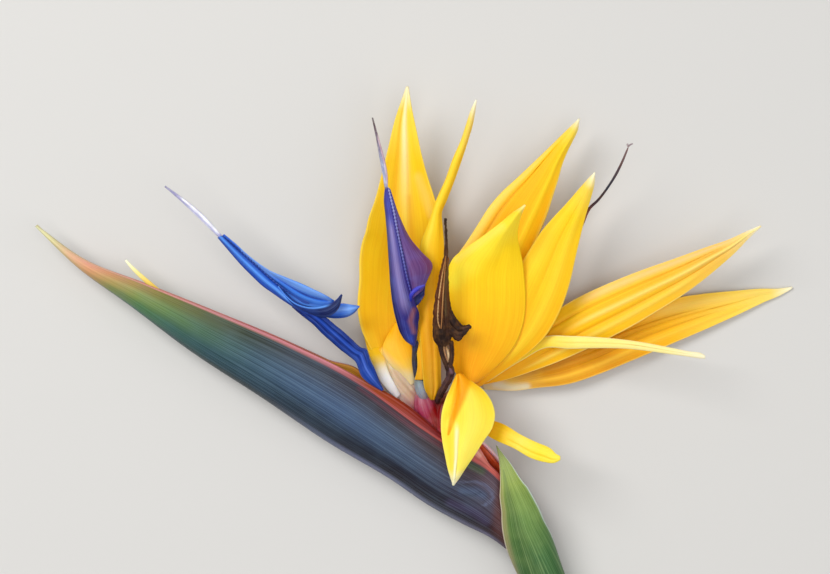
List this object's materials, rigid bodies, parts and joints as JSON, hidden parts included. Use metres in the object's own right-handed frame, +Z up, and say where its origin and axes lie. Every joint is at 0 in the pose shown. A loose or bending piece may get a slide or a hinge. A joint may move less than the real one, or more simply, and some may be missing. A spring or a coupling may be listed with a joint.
{
  "type": "bird of paradise flower",
  "caption": "Cut flower lying on its side: a long beak-like boat, yellow upright sepals, arrow-shaped blue and purple inner petals, and a sheathed stalk.",
  "frame": {"origin": "centre of the bounding box in X and Y, at the height of the surface that the flower lies on", "axes": "+Z up from the surface, +Y from the cut end of the stalk towards the sepals, +X away from the beak's point"},
  "size_m": [0.2446, 0.2799, 0.0345],
  "materials": {
    "stem_green": "smooth waxy green stalk skin",
    "sheath_green": "satin green leaf sheath with fine lengthwise veins",
    "spathe_skin": "waxy bloom, blue-grey to green to peach, fine parallel veins, coral lip",
    "bract_coral": "satin coral bract, red inside",
    "bud_yellow": "satin cream-yellow bud tip",
    "nectary_pale": "translucent pale grey-blue petal tissue",
    "style_dry": "dried brown thread",
    "arrow_blue": "velvety blue petal tissue",
    "arrow_purple": "ageing purple petal tissue",
    "arrow_brown": "dried brown petal tissue with tan edges",
    "stigma_pale": "pale lilac, sticky stigma",
    "floret_stalk": "fleshy stalk, cream to pink to crimson",
    "sepal_yellow": "satin golden yellow petal tissue with fine lengthwise veins"
  },
  "bodies": {
    "root": {"arrow_1": "arrow_blue", "arrow_2": "arrow_purple", "arrow_3": "arrow_brown", "bud_tip": "bud_yellow", "floret_1_base": "floret_stalk", "floret_2_base": "floret_stalk", "floret_3_base": "floret_stalk", "floret_4_base": "floret_stalk", "inner_bract": "bract_coral", "nectary_1": "nectary_pale", "sepal_1a": "sepal_yellow", "sepal_1b": "sepal_yellow", "sepal_1c": "sepal_yellow", "sepal_2a": "sepal_yellow", "sepal_2b": "sepal_yellow", "sepal_2c": "sepal_yellow", "sepal_3a": "sepal_yellow", "sepal_3b": "sepal_yellow", "sepal_3c": "sepal_yellow", "sepal_4a": "sepal_yellow", "sepal_4b": "sepal_yellow", "spathe": "spathe_skin", "stem": "stem_green", "stem_sheath": "sheath_green", "stigma_1": "stigma_pale", "stigma_2": "stigma_pale", "style_4": "style_dry"}
  },
  "joints": []
}
